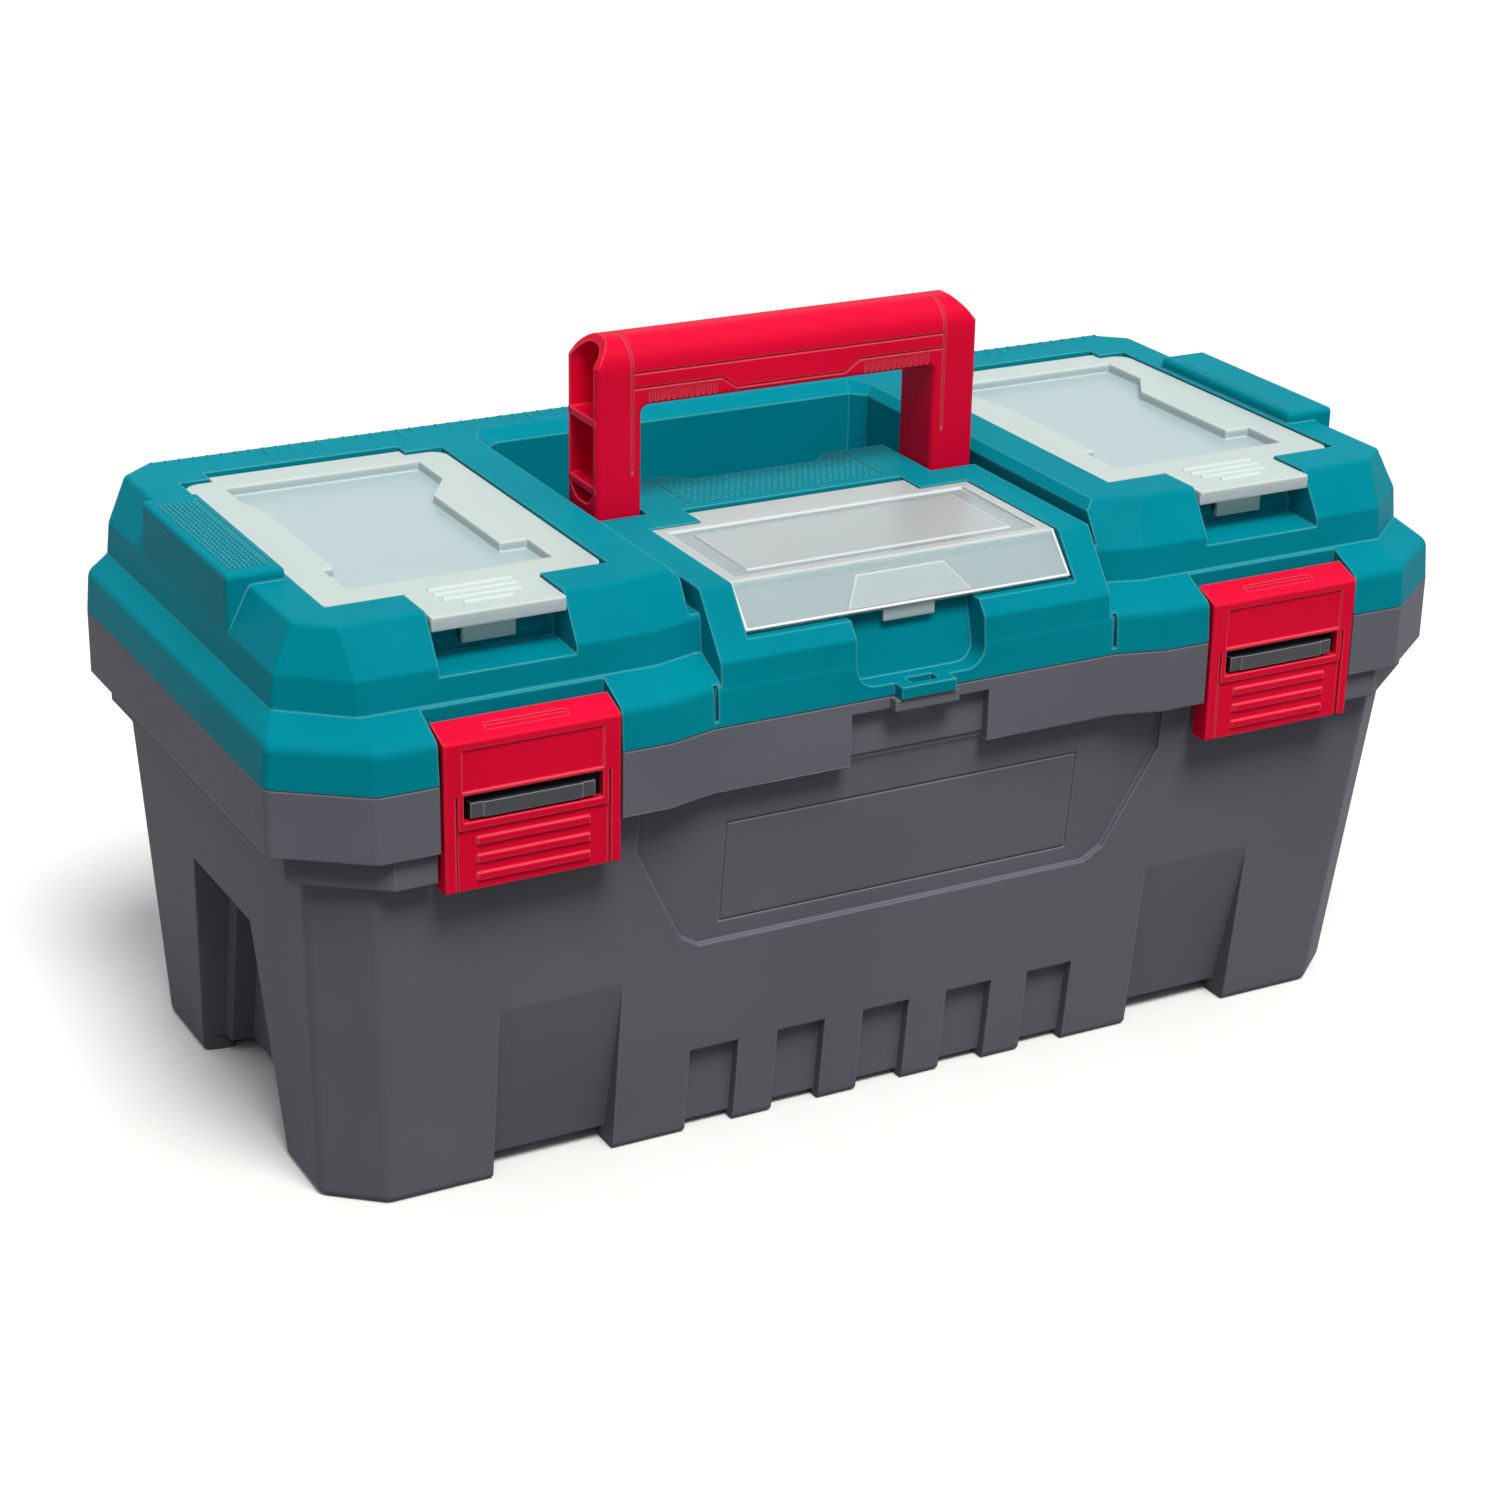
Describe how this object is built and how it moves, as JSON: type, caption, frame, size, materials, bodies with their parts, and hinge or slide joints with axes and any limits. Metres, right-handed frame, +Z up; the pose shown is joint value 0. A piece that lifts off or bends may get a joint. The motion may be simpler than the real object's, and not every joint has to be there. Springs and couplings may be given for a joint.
{
  "type": "tool box",
  "caption": "Moulded plastic tool box with a hinged lid, clear-covered parts bins in the lid, a folding carry handle, front latches, a padlock slot and a lift-out tray.",
  "frame": {"origin": "middle of the footprint, on the surface that the box stands on", "axes": "X along the length, Y from the latches to the rear hinge, Z up"},
  "size_m": [0.44, 0.218, 0.2546],
  "materials": {
    "tub_grey": "fine moulded texture",
    "lid_teal": "fine moulded texture",
    "handle_red": "fine moulded texture",
    "catch_black": "fine moulded texture",
    "cover_clear": "milky clear",
    "pin_steel": "drawn wire",
    "tray_grey": "fine moulded texture"
  },
  "bodies": {
    "base": {"base_tub": "tub_grey", "catch_bar_left": "catch_black", "catch_bar_right": "catch_black", "hinge_pin_left": "pin_steel", "hinge_pin_right": "pin_steel"},
    "lid": {"lid_shell": "lid_teal", "latch_pin_left": "pin_steel", "latch_pin_right": "pin_steel", "cover_pin_left": "pin_steel", "cover_pin_right": "pin_steel", "cover_pin_centre": "pin_steel"},
    "handle": {"carry_handle": "handle_red", "handle_pin_left": "pin_steel", "handle_pin_right": "pin_steel"},
    "latch_left": {"latch_left": "handle_red"},
    "latch_right": {"latch_right": "handle_red"},
    "cover_left": {"cover_left": "cover_clear"},
    "cover_right": {"cover_right": "cover_clear"},
    "cover_centre": {"cover_centre": "cover_clear"},
    "tray": {"tote_tray": "tray_grey"}
  },
  "joints": [
    {"name": "lid_hinge", "type": "hinge", "parent": "base", "child": "lid", "pos_m": [0, 0.1055, 0.154], "axis": [-1, 0, 0], "range_deg": [0, 100]},
    {"name": "handle_fold", "type": "hinge", "parent": "lid", "child": "handle", "pos_m": [0, -0.0005, 0.1885], "axis": [-1, 0, 0], "range_deg": [0, 90]},
    {"name": "latch_left_swing", "type": "hinge", "parent": "lid", "child": "latch_left", "pos_m": [-0.141, -0.1015, 0.1652], "axis": [-1, 0, 0], "range_deg": [0, 100]},
    {"name": "latch_right_swing", "type": "hinge", "parent": "lid", "child": "latch_right", "pos_m": [0.141, -0.1015, 0.1652], "axis": [-1, 0, 0], "range_deg": [0, 100]},
    {"name": "cover_left_swing", "type": "hinge", "parent": "lid", "child": "cover_left", "pos_m": [-0.14415, 0.0706, 0.1974], "axis": [-1, 0, 0], "range_deg": [0, 100]},
    {"name": "cover_right_swing", "type": "hinge", "parent": "lid", "child": "cover_right", "pos_m": [0.14415, 0.0706, 0.1974], "axis": [-1, 0, 0], "range_deg": [0, 100]},
    {"name": "cover_centre_swing", "type": "hinge", "parent": "lid", "child": "cover_centre", "pos_m": [0, -0.0182, 0.1923], "axis": [-1, 0, 0], "range_deg": [0, 88]},
    {"name": "tray_lift", "type": "slide", "parent": "base", "child": "tray", "axis": [0, 0, 1], "range_m": [0, 0.006]}
  ]
}
